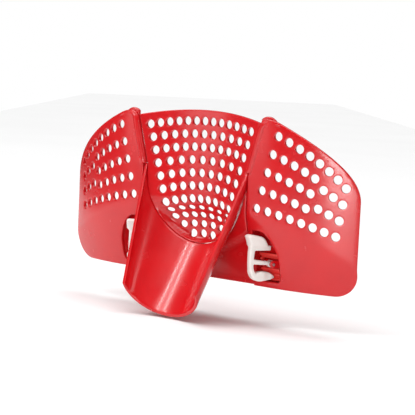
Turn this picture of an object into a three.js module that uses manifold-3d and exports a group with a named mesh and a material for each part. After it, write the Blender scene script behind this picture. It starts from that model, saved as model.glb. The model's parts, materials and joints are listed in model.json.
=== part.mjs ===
// Clip-on pot strainer with a pouring spout, in millimetres.
// Origin: where the rim of the pot that the clips hold crosses the mirror plane.
// +X to the right, +Y into the pot (away from the spout), +Z up.
import * as THREE from 'three';
import { mergeVertices } from 'three/addons/utils/BufferGeometryUtils.js';
import Module from 'manifold-3d';

const wasm = await Module();
wasm.setup();

// ---------------------------------------------------------------- driving dimensions
const WALL = 2.6;              // thickness of the perforated walls and the rim skirt
const GAP = 0.35;              // clearance between neighbouring pieces
const HOLE_RADIUS = 3.1;
const HOLE_SIDES = 6;

// The pieces are drawn about a point between the folds, from which the pot rim lies at:
const RIM_Y = 6.5;
const RIM_Z = -13;

const MID_TOP = 91.1;          // top edge of the centre wall on the mirror plane
const TOP_ARCH = 5.9;          // how far that edge drops at the folds
const SKIRT_BOTTOM = -28.4;

const BOWL_TOP = 50.4;         // height of the U seam's two upper ends
const BOWL_HALF = 44;          // half width of the U seam there
const BOWL_DEPTH = 54.3;       // from there down to the bottom of the U
const FOLD_SLOPE = 0.27;       // sideways lean of the folds above the U seam
const FOLD_TOP = 85;

const WING_FRONT = -8;         // y of the wing's outer face at the fold
const WING_FOLD_X = 53;
const WING_END = 126.4;        // outer end of the wing
const WING_SWEEP = 19.2;       // how far the wing curves back at its outer end
const WING_CURVE = 2.27;
const WING_EDGE = 47;          // inner edge of the wing beside the spout
const LEAN = 0.27;             // the skirt leans back by this slope below the crease
const CREASE_HEIGHT = 22;      // crease height at x = CREASE_X
const CREASE_X = 47;

const SPOUT_WALL = 2.4;
const LIP_HALF = 30.8;         // half width of the pouring lip
const LIP_Y = -41.7;
const LIP_Z = -33.3;
const LIP_RUN = 10.5;          // the floor of the lip lies back by this much
const LIP_DEPTH = 18.2;
const BAND = 6;                // depth of the collar that holds the centre wall

const HINGE_X = 49.7;
const HINGE_Y = -2.75;
const BARREL_RADIUS = 2.3;
const HINGE_BORE = 1.45;
const HINGE_PIN = 1.1;
const KNUCKLES = [31.5, 37, 43.5, 50];   // joints between the three knuckles, from the bottom up

const CLIP_X = 53.5;           // outer face of the clip's strap
const CLIP_Y = -8.9;
const CLIP_TURN = 28 * Math.PI / 180;
const CLIP_WIDTH = 4.6;        // of the strap
const PIVOT_REACH = 15;        // pivot of the clip, measured inwards from the strap
const PIVOT_Z = -11.2;
const CLIP_BORE = 1.25;
const CLIP_PIN = 0.9;

const RED = { color: 0xd3171c, roughness: 0.28, metalness: 0 };
const RED_SOFT = { color: 0xc4161b, roughness: 0.5, metalness: 0 };
const WHITE = { color: 0xe9e7e3, roughness: 0.4, metalness: 0 };
const STEEL = { color: 0xb8bcc0, roughness: 0.35, metalness: 1 };

// ---------------------------------------------------------------- solids and cuts
function toSolid(geometry) {
  let source = geometry.clone();
  source.deleteAttribute('normal');
  source.deleteAttribute('uv');
  source = mergeVertices(source, 1e-4);
  const mesh = new wasm.Mesh({
    numProp: 3,
    vertProperties: new Float32Array(source.attributes.position.array),
    triVerts: new Uint32Array(source.index.array),
  });
  return new wasm.Manifold(mesh);
}

function toGeometry(solid) {
  const mesh = solid.getMesh();
  const geometry = new THREE.BufferGeometry();
  geometry.setAttribute('position', new THREE.BufferAttribute(new Float32Array(mesh.vertProperties), 3));
  geometry.setIndex(new THREE.BufferAttribute(new Uint32Array(mesh.triVerts), 1));
  geometry.computeVertexNormals();
  return geometry;
}

const join = (first, ...others) => others.reduce((sum, other) => sum.add(other), first);
const cut = (first, ...others) => others.reduce((rest, other) => rest.subtract(other), first);

// Closed sheet between two surfaces given as point functions of (u, v) in 0..1.
function sheet(front, back, across, up) {
  const points = [];
  const faces = [];
  const columns = across + 1;
  const count = columns * (up + 1);
  for (const surface of [front, back]) {
    for (let j = 0; j <= up; j++) {
      for (let i = 0; i <= across; i++) points.push(...surface(i / across, j / up));
    }
  }
  const at = (i, j, side) => side * count + j * columns + i;
  const quad = (a, b, c, d) => faces.push(a, b, c, a, c, d);
  for (let j = 0; j < up; j++) {
    for (let i = 0; i < across; i++) {
      quad(at(i, j, 0), at(i + 1, j, 0), at(i + 1, j + 1, 0), at(i, j + 1, 0));
      quad(at(i, j, 1), at(i, j + 1, 1), at(i + 1, j + 1, 1), at(i + 1, j, 1));
    }
    quad(at(0, j, 0), at(0, j + 1, 0), at(0, j + 1, 1), at(0, j, 1));
    quad(at(across, j, 0), at(across, j, 1), at(across, j + 1, 1), at(across, j + 1, 0));
  }
  for (let i = 0; i < across; i++) {
    quad(at(i, 0, 0), at(i, 0, 1), at(i + 1, 0, 1), at(i + 1, 0, 0));
    quad(at(i, up, 0), at(i + 1, up, 0), at(i + 1, up, 1), at(i, up, 1));
  }
  const geometry = new THREE.BufferGeometry();
  geometry.setAttribute('position', new THREE.BufferAttribute(new Float32Array(points), 3));
  geometry.setIndex(faces);
  return toSolid(geometry);
}

// Outline drawn in x and z, extruded along y from y0 to y1.
function prism(shape, y0, y1, curveSegments = 12) {
  const geometry = new THREE.ExtrudeGeometry(shape, { depth: y1 - y0, bevelEnabled: false, curveSegments });
  geometry.rotateX(Math.PI / 2);
  geometry.translate(0, y1, 0);
  return toSolid(geometry);
}

function block(x0, x1, y0, y1, z0, z1) {
  const geometry = new THREE.BoxGeometry(x1 - x0, y1 - y0, z1 - z0);
  geometry.translate((x0 + x1) / 2, (y0 + y1) / 2, (z0 + z1) / 2);
  return toSolid(geometry);
}

// Cylinder from one point to another.
function rod(from, to, radius, sides = 12) {
  const start = new THREE.Vector3(...from);
  const span = new THREE.Vector3(...to).sub(start);
  const geometry = new THREE.CylinderGeometry(radius, radius, span.length(), sides);
  const turn = new THREE.Quaternion().setFromUnitVectors(new THREE.Vector3(0, 1, 0), span.clone().normalize());
  geometry.applyQuaternion(turn);
  geometry.translate(...start.add(span.multiplyScalar(0.5)).toArray());
  return toSolid(geometry);
}

const upright = (x, y, z0, z1, radius, sides) => rod([x, y, z0], [x, y, z1], radius, sides);

// ---------------------------------------------------------------- shared surfaces
const smooth = (t) => {
  const s = Math.min(Math.max(t, 0), 1);
  return s * s * (3 - 2 * s);
};

const foldX = (z) => BOWL_HALF + FOLD_SLOPE * (z - BOWL_TOP);

// Front face of the centre wall, without its recess.
function wallFront(x, z) {
  const rise = z - 28;
  const bend = 0.0029 + 0.0022 * ((83 - Math.max(z, 28)) / 55) ** 2;
  const middle = rise > 0 ? 0.031 * rise : 0.8 * (rise / 32) ** 2;
  return middle - bend * x * x;
}

// The lower part of the centre wall steps back into a scoop inside the U seam.
const SCOOP_DEPTH = 5.6;
function scoopFront(x, z) {
  const level = z + x * x / 190;
  const inside = 1 - Math.hypot(x / BOWL_HALF, Math.max(BOWL_TOP - z, 0) / BOWL_DEPTH);
  return wallFront(x, z) + SCOOP_DEPTH * smooth((29.8 - level) / 19) * smooth(inside / 0.07);
}

const creaseZ = (x) => CREASE_HEIGHT - 0.16 * (x - CREASE_X) - 0.0029 * (x - CREASE_X) ** 2;

// Outer face of the right wing: upright above the crease, leaning back below it.
function wingFront(x, z) {
  const along = Math.max(x - WING_FOLD_X, 0) / (WING_END - WING_FOLD_X);
  return WING_FRONT + WING_SWEEP * along ** WING_CURVE + LEAN * Math.max(creaseZ(x) - z, 0);
}

// Sheet that follows the wing between two depths behind its outer face.
function wingSlab(x0, x1, z0, z1, near, far, across) {
  const crossing = z0 < creaseZ(x1) && z1 > creaseZ(x0);
  const level = (x, v) => {
    if (!crossing) return z0 + (z1 - z0) * v;
    return v < 0.5 ? z0 + (creaseZ(x) - z0) * 2 * v : creaseZ(x) + (z1 - creaseZ(x)) * (2 * v - 1);
  };
  const face = (depth) => (u, v) => {
    const x = x0 + (x1 - x0) * u;
    const z = level(x, v);
    return [x, wingFront(x, z) + depth, z];
  };
  return sheet(face(near), face(far), across, crossing ? 2 : 1);
}

// ---------------------------------------------------------------- centre strainer
// Centre and half height of every hole; the rows in the scoop hold flat ovals.
function centreHoles() {
  const holes = [];
  const rows = [13, 11, 11, 9, 9, 9, 9];
  rows.forEach((count, row) => {
    const half = 44.8 - 2.76 * row;
    const middle = 83.2 - 9.2 * row;
    for (let i = 0; i < count; i++) {
      const across = 2 * i / (count - 1) - 1;
      holes.push([half * across, middle - 4.6 * across * across, HOLE_RADIUS]);
    }
  });
  const lower = [[7, 8.4, 21.8, 1.5], [7, 7.7, 16.4, 2.1], [5, 8.4, 9.9, 2.6], [3, 8.5, 2.9, 2.9]];
  for (const [count, pitch, middle, height] of lower) {
    for (let i = 0; i < count; i++) {
      const x = (i - (count - 1) / 2) * pitch;
      holes.push([x, middle - x * x / 180, height]);
    }
  }
  return holes;
}

// Inside the U it clears the spout's wall; above, its sides reach just past the fold lines.
function centreOutline() {
  const shape = new THREE.Shape();
  const edgeTop = MID_TOP - TOP_ARCH;
  const shoulder = BOWL_TOP + GAP;
  const corner = foldX(edgeTop) + GAP;
  shape.moveTo(-corner, edgeTop);
  shape.lineTo(-(foldX(shoulder) + GAP), shoulder);
  shape.lineTo(-(BOWL_HALF - GAP), shoulder);
  shape.absellipse(0, BOWL_TOP, BOWL_HALF - GAP, BOWL_DEPTH - GAP, Math.PI, 2 * Math.PI, false, 0);
  shape.lineTo(BOWL_HALF - GAP, shoulder);
  shape.lineTo(foldX(shoulder) + GAP, shoulder);
  shape.lineTo(corner, edgeTop);
  shape.quadraticCurveTo(0, MID_TOP + TOP_ARCH, -corner, edgeTop);
  return shape;
}

function centreStrainer() {
  const low = BOWL_TOP - BOWL_DEPTH - 1;
  const face = (depth) => (u, v) => {
    const z = low + (MID_TOP + 1 - low) * v;
    const x = (2 * u - 1) * (foldX(FOLD_TOP) + 2);
    return [x, scoopFront(x, z) + depth, z];
  };
  const panel = sheet(face(0), face(WALL), 16, 16).intersect(prism(centreOutline(), -20, 20, 14));
  const pegs = centreHoles().map(([x, z, height]) => {
    const oval = new THREE.Shape();
    oval.absellipse(x, z, HOLE_RADIUS, height, 0, 2 * Math.PI, false, 0);
    return prism(oval, -16, 14, HOLE_SIDES / 2);
  });
  return cut(panel, ...pegs);
}

// ---------------------------------------------------------------- pouring spout
// Section of the spout: t = 0 at the U seam, 1 at the lip; angle runs round the U.
function spoutPoint(angle, t, thick) {
  const c = Math.cos(angle);
  const s = Math.sin(angle);
  const rootX = (BOWL_HALF + thick) * c;
  const rootZ = BOWL_TOP - (BOWL_DEPTH + thick) * s;
  const rootY = wallFront(BOWL_HALF * c, BOWL_TOP - BOWL_DEPTH * s);
  if (t < 0) return [rootX, rootY - t * BAND, rootZ];
  const lipX = (LIP_HALF + thick) * c;
  const lipY = LIP_Y + (LIP_RUN + 0.5 * thick) * s;
  const lipZ = LIP_Z - (LIP_DEPTH + 0.87 * thick) * s;
  return [rootX + (lipX - rootX) * t, rootY + (lipY - rootY) * t, rootZ + (lipZ - rootZ) * t];
}

const SPOUT_STEPS = [-1, 0, 0.25, 0.5, 0.75, 1];
function spoutShell(inner, outer) {
  const last = SPOUT_STEPS.length - 1;
  const face = (thick) => (u, v) => spoutPoint(Math.PI * (1 - u), SPOUT_STEPS[Math.round(v * last)], thick);
  return sheet(face(outer), face(inner), 28, last);
}

function pourSpout() {
  const [low, knuckleFrom, knuckleTo, high] = KNUCKLES;
  const knuckleLow = knuckleFrom + GAP;
  const knuckleHigh = knuckleTo - GAP;
  const barrel = upright(HINGE_X, HINGE_Y, knuckleLow, knuckleHigh, BARREL_RADIUS);
  const web = block(BOWL_HALF - 1.5, HINGE_X, HINGE_Y - 1.3, HINGE_Y + 1.3, knuckleLow, knuckleHigh);
  const bore = upright(HINGE_X, HINGE_Y, low, high, HINGE_BORE);
  const inside = spoutShell(-BOWL_HALF * 0.6, 0);
  const knuckle = cut(join(barrel, web), bore, inside);
  const mirrored = knuckle.mirror([1, 0, 0]);
  return join(spoutShell(0, SPOUT_WALL), knuckle, mirrored);
}

// ---------------------------------------------------------------- rim skirt
const SKIRT_TOP = 38;
const SKIRT_HALF = 46.4;
const SKIRT_LAP = 47.4;         // the recessed part laps behind the wings' inner edges
const RECESS = 4.2;            // how far the lower part lies behind the upper part
const STEP_HEIGHT = 7.5;       // height of the step between them at its outer end
const STEP_SLOPE = 0.55;
const STEP_WALL = 2;

const stepZ = (x) => STEP_HEIGHT - STEP_SLOPE * (SKIRT_HALF - Math.abs(x));
const skirtFront = (z) => WING_FRONT + LEAN * Math.max(CREASE_HEIGHT - z, 0);

// Both mirrored halves of a slab that follows the skirt between two heights and two depths.
function skirtSlab(x0, x1, low, high, near, far) {
  const face = (depth) => (u, v) => {
    const x = x0 + (x1 - x0) * u;
    const z = low(x) + (high(x) - low(x)) * v;
    return [x, skirtFront(z) + depth, z];
  };
  const right = sheet(face(near), face(far), 1, 1);
  return [right, right.mirror([1, 0, 0])];
}

function rimSkirt() {
  const foot = () => SKIRT_BOTTOM;
  const step = stepZ;
  const midStep = (x) => stepZ(x) + STEP_WALL / 2;
  const aboveStep = (x) => stepZ(x) + STEP_WALL;
  const lapTop = () => STEP_HEIGHT;
  const bend = () => CREASE_HEIGHT;
  const top = () => SKIRT_TOP;
  const band = join(
    ...skirtSlab(0, SKIRT_HALF, foot, midStep, RECESS, RECESS + WALL),
    ...skirtSlab(SKIRT_HALF - 1, SKIRT_LAP, foot, lapTop, RECESS, RECESS + WALL),
    ...skirtSlab(0, SKIRT_HALF, step, aboveStep, 0, RECESS + WALL),
    ...skirtSlab(0, SKIRT_HALF, step, bend, 0, WALL),
    ...skirtSlab(0, SKIRT_HALF, bend, top, 0, WALL),
  );
  const grow = SPOUT_WALL + GAP;
  const bowl = new THREE.Shape();
  bowl.moveTo(-(BOWL_HALF + grow), BOWL_TOP + 20);
  bowl.lineTo(-(BOWL_HALF + grow), BOWL_TOP);
  bowl.absellipse(0, BOWL_TOP, BOWL_HALF + grow, BOWL_DEPTH + grow, Math.PI, 2 * Math.PI, false, 0);
  bowl.lineTo(BOWL_HALF + grow, BOWL_TOP + 20);
  return cut(band, prism(bowl, -30, 30, 28), spoutShell(-BOWL_HALF * 0.6, grow));
}

// ---------------------------------------------------------------- wings
function wingHoles() {
  const holes = [];
  for (let k = 0; k < 8; k++) {
    const top = [70 + 8.55 * k - 0.255 * k * k, 77 - 3.4 * k - 0.16 * k * k];
    const bottom = [55.3 + 9.1 * k - 0.13 * k * k, 27 - 1.4 * k - 0.09 * k * k];
    const count = k < 5 ? 5 : 4;
    for (let row = 0; row < count; row++) {
      const t = row / (count - 1);
      holes.push([top[0] + (bottom[0] - top[0]) * t, top[1] + (bottom[1] - top[1]) * t]);
    }
  }
  return holes;
}

const CORNER = 17;
function wingOutline() {
  const shape = new THREE.Shape();
  shape.moveTo(WING_EDGE, SKIRT_BOTTOM);
  shape.lineTo(WING_END - CORNER, SKIRT_BOTTOM);
  shape.absarc(WING_END - CORNER, SKIRT_BOTTOM + CORNER, CORNER, -Math.PI / 2, 0, false);
  shape.lineTo(WING_END, 36);
  shape.bezierCurveTo(WING_END, 56, 99.6, 73.2, 69.6, 86.2);
  shape.quadraticCurveTo(54.5, 92, beadX(79) - BEAD_RADIUS, 79);
  shape.lineTo(beadX(78), 78);
  shape.lineTo(beadX(BEAD_BOTTOM), BEAD_BOTTOM);
  return shape;
}

// Round bead along the wing's inner edge, beside the centre wall.
const BEAD_RADIUS = 2.8;
const BEAD_BOTTOM = 50.75;
const BEAD_TOP = 81.5;
const BEAD_Y = -6.4;
const beadX = (z) => foldX(z) + BEAD_RADIUS + 0.8;

// Rounded ear behind the wing's inner top corner.
const EAR_X = 60;
const EAR_Z = 81.5;
const EAR_RADIUS = 8.4;
const EAR_START = 54.6;
const EAR_END = 67.5;
const EAR_BOTTOM = 80.8;

// Window in the skirt for the clip, with an arched outer side.
const WINDOW = { x0: 50.8, x1: 71.2, z0: -24, z1: 11.4 };
function windowOutline() {
  const { x0, x1, z0, z1 } = WINDOW;
  const shape = new THREE.Shape();
  shape.moveTo(x0, z0);
  shape.lineTo(x1 - 4, z0);
  shape.quadraticCurveTo(x1, z0, x1, z0 + 7);
  shape.lineTo(x1, -9);
  shape.bezierCurveTo(x1 - 1.3, -0.3, x1 - 7.5, z1, x1 - 14.5, z1);
  shape.lineTo(x0, z1);
  return shape;
}

function wing() {
  const body = wingSlab(WING_EDGE - 4, WING_END + 2, SKIRT_BOTTOM - 2, 94, 0, WALL, 16);
  const panel = body.intersect(prism(wingOutline(), -20, 60, 12));

  const earOutline = new THREE.Shape();
  earOutline.absarc(EAR_X, EAR_Z, EAR_RADIUS, 0, 2 * Math.PI, false);
  const ear = wingSlab(EAR_START, EAR_END, EAR_BOTTOM, 94, WALL - 0.4, WALL + 2, 3)
    .intersect(prism(earOutline, -20, 20, 12));

  const bead = rod([beadX(BEAD_BOTTOM), BEAD_Y, BEAD_BOTTOM], [beadX(BEAD_TOP), BEAD_Y, BEAD_TOP], BEAD_RADIUS, 16);

  const barrels = [[KNUCKLES[0], KNUCKLES[1]], [KNUCKLES[2], KNUCKLES[3]]].map(([z0, z1]) => join(
    upright(HINGE_X, HINGE_Y, z0, z1, BARREL_RADIUS),
    block(HINGE_X - 1.2, HINGE_X + BARREL_RADIUS, WING_FRONT + 1, HINGE_Y, z0, z1),
  ));
  const bore = upright(HINGE_X, HINGE_Y, 0, 60, HINGE_BORE);

  const pegs = wingHoles().map(([x, z]) => {
    const slope = (wingFront(x + 1, z) - wingFront(x - 1, z)) / 2;
    const y = wingFront(x, z);
    return rod([x + 6 * slope, y - 6, z], [x - 8 * slope, y + 8, z], HOLE_RADIUS, HOLE_SIDES);
  });
  const window = prism(windowOutline(), -20, 30, 6);
  return cut(join(panel, ear, bead, ...barrels), bore, window, ...pegs);
}

function hingePin() {
  return upright(HINGE_X, HINGE_Y, KNUCKLES[0] + 0.5, KNUCKLES[3] - 0.5, HINGE_PIN);
}

// ---------------------------------------------------------------- clip pocket and grip pad
const POCKET_DEPTH = 9.5;
const POCKET_WALL = 1.6;
const RAMP = 4;                // how far the outer side slopes in

// Piece drawn in the clip's own frame (x along the pin, y inwards, z up), moved to the strap.
function fromClipFrame(solid) {
  const matrix = new THREE.Matrix4().makeTranslation(CLIP_X, CLIP_Y, 0);
  matrix.multiply(new THREE.Matrix4().makeRotationZ(-CLIP_TURN));
  return solid.transform(matrix.elements);
}

const LUG_INNER = 4.7;
const LUG_OUTER = 6.1;

// Its outer side slopes in from the window's edge to the floor.
function clipPocket() {
  const { x0, x1, z0, z1 } = WINDOW;
  const near = WALL + GAP;
  const far = POCKET_DEPTH + POCKET_WALL;
  const left = x0 - POCKET_WALL;
  const right = x1 + POCKET_WALL;
  const low = z0 - POCKET_WALL;
  const high = z1 + POCKET_WALL;
  const floor = wingSlab(left, x1 - RAMP + POCKET_WALL, low, high, POCKET_DEPTH, far, 3);
  const slope = (offset) => (u, v) => {
    const x = x1 + offset - RAMP * u;
    const z = low + (high - low) * v;
    return [x, wingFront(x, z) + near + (far - near) * u, z];
  };
  const walls = [
    wingSlab(left, x0, low, high, near, far, 1),
    sheet(slope(POCKET_WALL), slope(0), 1, 1),
    wingSlab(left, right, z1, high, near, far, 3),
    wingSlab(left, right, low, z0, near, far, 3),
  ];
  const lugs = [-1, 1].map((side) => {
    const a = side > 0 ? LUG_INNER : -LUG_OUTER;
    const b = side > 0 ? LUG_OUTER : -LUG_INNER;
    return join(
      rod([a, PIVOT_REACH, PIVOT_Z], [b, PIVOT_REACH, PIVOT_Z], 2.6),
      block(a, b, PIVOT_REACH, PIVOT_REACH + 8, PIVOT_Z - 2.6, PIVOT_Z + 2.6),
    );
  });
  const bore = rod([-9, PIVOT_REACH, PIVOT_Z], [9, PIVOT_REACH, PIVOT_Z], CLIP_BORE);
  const bracket = fromClipFrame(cut(join(...lugs), bore));
  const beyond = wingSlab(left - 9, right + 9, low - 9, high, far - 0.2, far + 20, 3);
  return join(floor, ...walls, cut(bracket, beyond));
}

// The pad is flat: it follows the wing's lean at one x and runs straight across.
const PAD_X = 59;
const PAD_BACK = POCKET_DEPTH - 0.65;
const PAD_PLATE = 1.4;
const PAD_RIB = 1.8;
const PAD_PITCH = 3.5;

function padSlab(x0, x1, z0, z1, near, far) {
  const face = (depth) => (u, v) => {
    const z = z0 + (z1 - z0) * v;
    return [x0 + (x1 - x0) * u, wingFront(PAD_X, z) + depth, z];
  };
  return sheet(face(near), face(far), 1, 1);
}

function gripPad() {
  const left = WINDOW.x0 + GAP;
  const right = WINDOW.x1 - RAMP - GAP - 0.4;
  const bottom = WINDOW.z0 + GAP;
  const top = -4.4;
  const plateFront = PAD_BACK - PAD_PLATE;
  const ribs = [];
  for (let z = bottom; z < top - PAD_RIB / 2; z += PAD_PITCH) {
    ribs.push(padSlab(left, right, z, z + PAD_RIB, plateFront - PAD_RIB, plateFront + 0.2));
  }
  const half = LUG_OUTER + GAP;
  const clear = fromClipFrame(block(-half, half, 5, 40, PIVOT_Z - 3.2, PIVOT_Z + 3.2));
  return cut(join(padSlab(left, right, bottom, top, plateFront, PAD_BACK), ...ribs), clear);
}

// ---------------------------------------------------------------- clip, pin and spring
// Side outline of the clip: y inwards from the strap's outer face, z up.
function clipOutline() {
  const shape = new THREE.Shape();
  shape.moveTo(-3.8, 7.6);
  shape.quadraticCurveTo(-3, 9, -1, 9);
  shape.lineTo(4.8, 8);
  shape.bezierCurveTo(9, 7.6, 10, 4.5, 11.4, 1.7);
  shape.quadraticCurveTo(14.4, 1.2, 14.4, -0.4);
  shape.quadraticCurveTo(14.2, -1.9, 12.4, -2);
  shape.lineTo(2.2, -2);
  shape.lineTo(1.6, -8.2);
  shape.lineTo(PIVOT_REACH - 2, -9.6);
  shape.lineTo(PIVOT_REACH - 2, -12.2);
  shape.lineTo(1.6, -11.4);
  shape.quadraticCurveTo(1.8, -17, 3.4, -17.6);
  shape.bezierCurveTo(6, -16.6, 9, -16.4, 11, -16.6);
  shape.bezierCurveTo(14.5, -17.2, 16.7, -18.6, 18.1, -20.4);
  shape.bezierCurveTo(16.7, -22.2, 13, -22.6, 9.7, -22.9);
  shape.bezierCurveTo(3, -24.2, -0.4, -21.5, -1.4, -14);
  shape.quadraticCurveTo(-2, -6, -1.4, -0.4);
  shape.quadraticCurveTo(-2.2, 4.2, -3.8, 7.6);
  return shape;
}

function clipSlab(width) {
  const geometry = new THREE.ExtrudeGeometry(clipOutline(), {
    depth: width, bevelEnabled: false, curveSegments: 5,
  });
  geometry.rotateX(Math.PI / 2);        // outline's second axis becomes z
  geometry.translate(0, width / 2, 0);
  geometry.rotateZ(Math.PI / 2);        // outline's first axis becomes y
  return toSolid(geometry);
}

const HEAD_WIDTH = 8;
const HEAD_FROM = 1.2;         // the head begins at this height
const FOOT_WIDTH = 6.8;
const FOOT_FROM = -16.2;       // the foot begins below this height
const FOOT_REACH = 10.5;       // the foot is wide as far in as this
const EYE_HALF = 1.7;

function clip() {
  const head = clipSlab(HEAD_WIDTH).intersect(block(-9, 9, -9, 20, HEAD_FROM, 20));
  const foot = clipSlab(FOOT_WIDTH).intersect(block(-9, 9, -9, FOOT_REACH, -30, FOOT_FROM));
  const eye = rod([-EYE_HALF, PIVOT_REACH, PIVOT_Z], [EYE_HALF, PIVOT_REACH, PIVOT_Z], 2.4);
  const bore = rod([-9, PIVOT_REACH, PIVOT_Z], [9, PIVOT_REACH, PIVOT_Z], CLIP_BORE);
  const springSpace = [-1, 1].map((side) => {
    const a = side > 0 ? EYE_HALF : -6;
    const b = side > 0 ? 6 : -EYE_HALF;
    return block(a, b, PIVOT_REACH - 4, PIVOT_REACH + 4, PIVOT_Z - 3, PIVOT_Z + 3);
  });
  return cut(join(cut(clipSlab(CLIP_WIDTH), ...springSpace), head, foot, eye), bore);
}

function clipPin() {
  return rod([-LUG_OUTER, PIVOT_REACH, PIVOT_Z], [LUG_OUTER, PIVOT_REACH, PIVOT_Z], CLIP_PIN);
}

// Torsion spring on the pin, between the clip's eye and one lug of the pocket.
function clipSpring() {
  const turns = 2;
  const wire = 0.35;
  const radius = 1.7;
  const start = 2.4;
  const pitch = 0.8;
  const points = [];
  for (let i = 0; i <= turns * 10; i++) {
    const angle = i / 10 * 2 * Math.PI;
    const x = start + pitch * i / 10;
    points.push(new THREE.Vector3(x, PIVOT_REACH + radius * Math.sin(angle), PIVOT_Z + radius * Math.cos(angle)));
  }
  const last = points[points.length - 1];
  points.push(new THREE.Vector3(last.x, last.y + 2.6, last.z));
  points.unshift(new THREE.Vector3(start, PIVOT_REACH - 2.6, PIVOT_Z + radius));
  const path = new THREE.CatmullRomCurve3(points, false, 'centripetal');
  const section = new THREE.Shape();
  section.absarc(0, 0, wire, 0, 2 * Math.PI, false);
  return toSolid(new THREE.ExtrudeGeometry(section, { steps: 40, curveSegments: 3, extrudePath: path }));
}

// ---------------------------------------------------------------- assembly
function piece(name, solid, look) {
  const mesh = new THREE.Mesh(toGeometry(solid), new THREE.MeshStandardMaterial({ ...look, name }));
  mesh.name = name;
  return mesh;
}

const strainer = new THREE.Group();
strainer.position.set(0, -RIM_Y, -RIM_Z);
strainer.add(
  piece('centre_strainer', centreStrainer(), RED),
  piece('pour_spout', pourSpout(), RED),
  piece('rim_skirt', rimSkirt(), RED),
);

// Pieces that come in pairs, drawn for the right side; the left ones are their mirror image.
const sidePieces = { wing: [wing(), RED], hinge_pin: [hingePin(), STEEL], clip_pocket: [clipPocket(), RED],
  grip_pad: [gripPad(), RED_SOFT] };
const clipPieces = { clip: [clip(), WHITE], clip_pin: [clipPin(), STEEL], clip_spring: [clipSpring(), STEEL] };

for (const [side, hand] of [['left', -1], ['right', 1]]) {
  const handed = (solid) => (hand < 0 ? solid.mirror([1, 0, 0]) : solid);
  const sideGroup = new THREE.Group();
  for (const [name, [solid, look]] of Object.entries(sidePieces)) {
    sideGroup.add(piece(`${side}_${name}`, handed(solid), look));
  }
  const clipGroup = new THREE.Group();
  clipGroup.position.set(hand * CLIP_X, CLIP_Y, 0);
  clipGroup.rotation.z = -hand * CLIP_TURN;
  for (const [name, [solid, look]] of Object.entries(clipPieces)) {
    clipGroup.add(piece(`${side}_${name}`, handed(solid), look));
  }
  sideGroup.add(clipGroup);
  strainer.add(sideGroup);
}

export default strainer;
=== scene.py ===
"""A clip-on pot strainer with a pouring spout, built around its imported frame.

Shapes are worked out in millimetres about the point between the folds that the CAD model is
drawn from, and place() turns them into the row frame, in metres, whose origin is the pot rim.
"""

import json
import math

import bmesh
import bpy
import numpy as np
from mathutils import Matrix, Vector
from mathutils.geometry import delaunay_2d_cdt


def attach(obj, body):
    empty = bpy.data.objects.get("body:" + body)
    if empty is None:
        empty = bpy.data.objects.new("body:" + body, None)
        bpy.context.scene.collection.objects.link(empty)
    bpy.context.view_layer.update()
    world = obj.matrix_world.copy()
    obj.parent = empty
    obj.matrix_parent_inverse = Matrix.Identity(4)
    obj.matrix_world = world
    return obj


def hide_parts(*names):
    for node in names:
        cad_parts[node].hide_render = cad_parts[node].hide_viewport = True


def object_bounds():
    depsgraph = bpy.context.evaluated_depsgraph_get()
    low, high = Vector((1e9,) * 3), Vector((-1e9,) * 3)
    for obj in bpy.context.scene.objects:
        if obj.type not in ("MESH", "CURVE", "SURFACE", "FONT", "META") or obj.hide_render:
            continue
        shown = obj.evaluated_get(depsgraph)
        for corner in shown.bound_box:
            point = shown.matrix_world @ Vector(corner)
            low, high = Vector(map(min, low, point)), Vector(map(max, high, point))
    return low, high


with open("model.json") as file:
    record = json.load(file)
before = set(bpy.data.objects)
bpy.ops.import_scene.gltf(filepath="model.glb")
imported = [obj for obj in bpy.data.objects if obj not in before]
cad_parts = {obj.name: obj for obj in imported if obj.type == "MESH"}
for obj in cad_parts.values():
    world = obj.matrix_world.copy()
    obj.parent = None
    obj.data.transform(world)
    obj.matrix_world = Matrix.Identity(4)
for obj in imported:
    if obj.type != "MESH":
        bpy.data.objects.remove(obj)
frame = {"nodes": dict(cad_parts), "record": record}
cad_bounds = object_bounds()

# ------------------------------------------------------------------ driving dimensions, in mm
RIM_Y, RIM_Z = 6.5, -13.0          # the pot rim, from the point that shapes are drawn about
WALL = 2.6                         # thickness of the perforated walls and the rim skirt
GAP = 0.35                         # clearance between neighbouring pieces
CLOSE = 0.05                       # clearance where no light may show through
HOLE = 3.1                         # radius of a drain hole
HOLE_SIDES = 28
HOLE_ROUND = 0.35                  # rounding of a drain hole's two edges
WINDOW_ROUND = 0.5                 # and of the clip window's
SOFT = 0.3                         # and of small blocks and bar ends

MID_TOP, TOP_ARCH = 91.1, 5.9      # top edge on the mirror plane, and its drop at the folds
SKIRT_BOTTOM = -28.4
BOWL_TOP, BOWL_HALF, BOWL_DEPTH = 50.4, 44.0, 54.3     # the U seam round the scoop
FOLD_SLOPE = 0.27                  # sideways lean of the folds above the U seam

BEND_LEVEL, BEND_TOP = 28.0, 83.0  # heights of the centre wall's strongest and weakest bend
MID_LEAN = 0.031                   # above BEND_LEVEL the wall leans back by this slope
TOE_BACK, TOE_DROP = 0.8, 32.0     # below it the wall curves back by TOE_BACK over TOE_DROP
BEND_LEAST, BEND_MORE = 0.0029, 0.0022
SCOOP_DEPTH, SCOOP_DISH = 5.6, 190.0
SCOOP_FROM, SCOOP_DROP = 29.8, 19.0    # where the scoop starts, and the height over which it deepens
SCOOP_EDGE = 0.07                  # share of the U over which the scoop rises to its rim

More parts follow.
